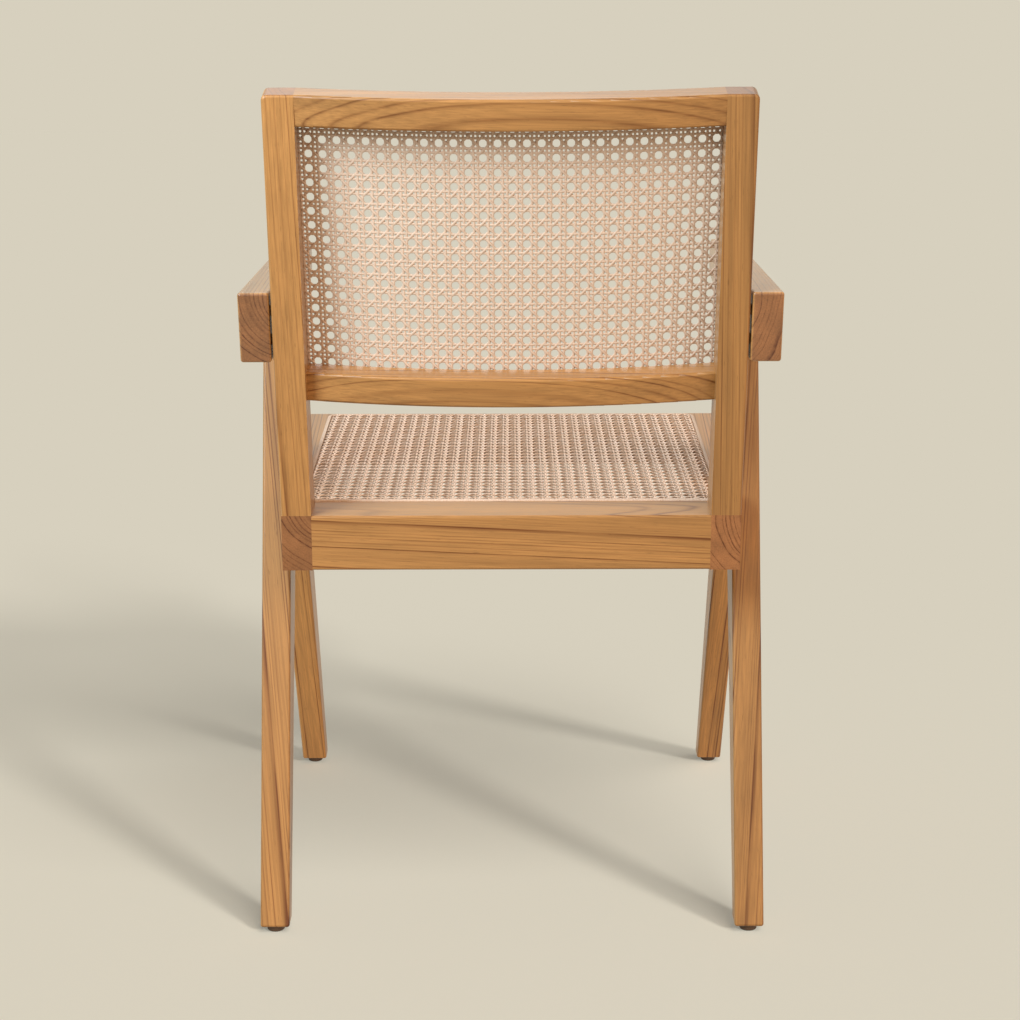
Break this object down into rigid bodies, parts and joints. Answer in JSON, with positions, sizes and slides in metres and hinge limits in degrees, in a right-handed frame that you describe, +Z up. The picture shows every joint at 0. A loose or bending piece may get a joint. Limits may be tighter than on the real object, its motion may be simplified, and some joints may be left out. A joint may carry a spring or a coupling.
{
  "type": "cane armchair",
  "caption": "Wooden armchair with inverted-V side legs, board armrests, a sloping woven cane seat and a leaning, bowed cane back.",
  "frame": {"origin": "on the floor, under the middle of the chair's overall box", "axes": "+Z up, the sitter faces -Y, the sitter's left is +X"},
  "size_m": [0.5052, 0.5706, 0.7973],
  "materials": {
    "teak": "oiled satin",
    "cane": "natural peeled rattan",
    "reed": "natural reed",
    "beech_dowel": "plain",
    "zinc_steel": "zinc plated",
    "glide_plastic": "matte"
  },
  "bodies": {
    "root": {"arm_leg_dowels": "beech_dowel", "arm_stile_dowels": "beech_dowel", "back_cane": "cane", "back_rail_dowels": "beech_dowel", "back_spline": "reed", "front_seat_rail": "teak", "glide_nails": "zinc_steel", "left_armrest": "teak", "left_back_stile": "teak", "left_front_glide": "glide_plastic", "left_front_leg": "teak", "left_rear_glide": "glide_plastic", "left_rear_leg": "teak", "left_side_seat_rail": "teak", "leg_mitre_dowels": "beech_dowel", "leg_screws": "zinc_steel", "lower_back_rail": "teak", "rear_seat_rail": "teak", "right_armrest": "teak", "right_back_stile": "teak", "right_front_glide": "glide_plastic", "right_front_leg": "teak", "right_rear_glide": "glide_plastic", "right_rear_leg": "teak", "right_side_seat_rail": "teak", "seat_cane": "cane", "seat_rail_dowels": "beech_dowel", "seat_spline": "reed", "stile_foot_dowels": "beech_dowel", "top_back_rail": "teak"}
  },
  "joints": []
}
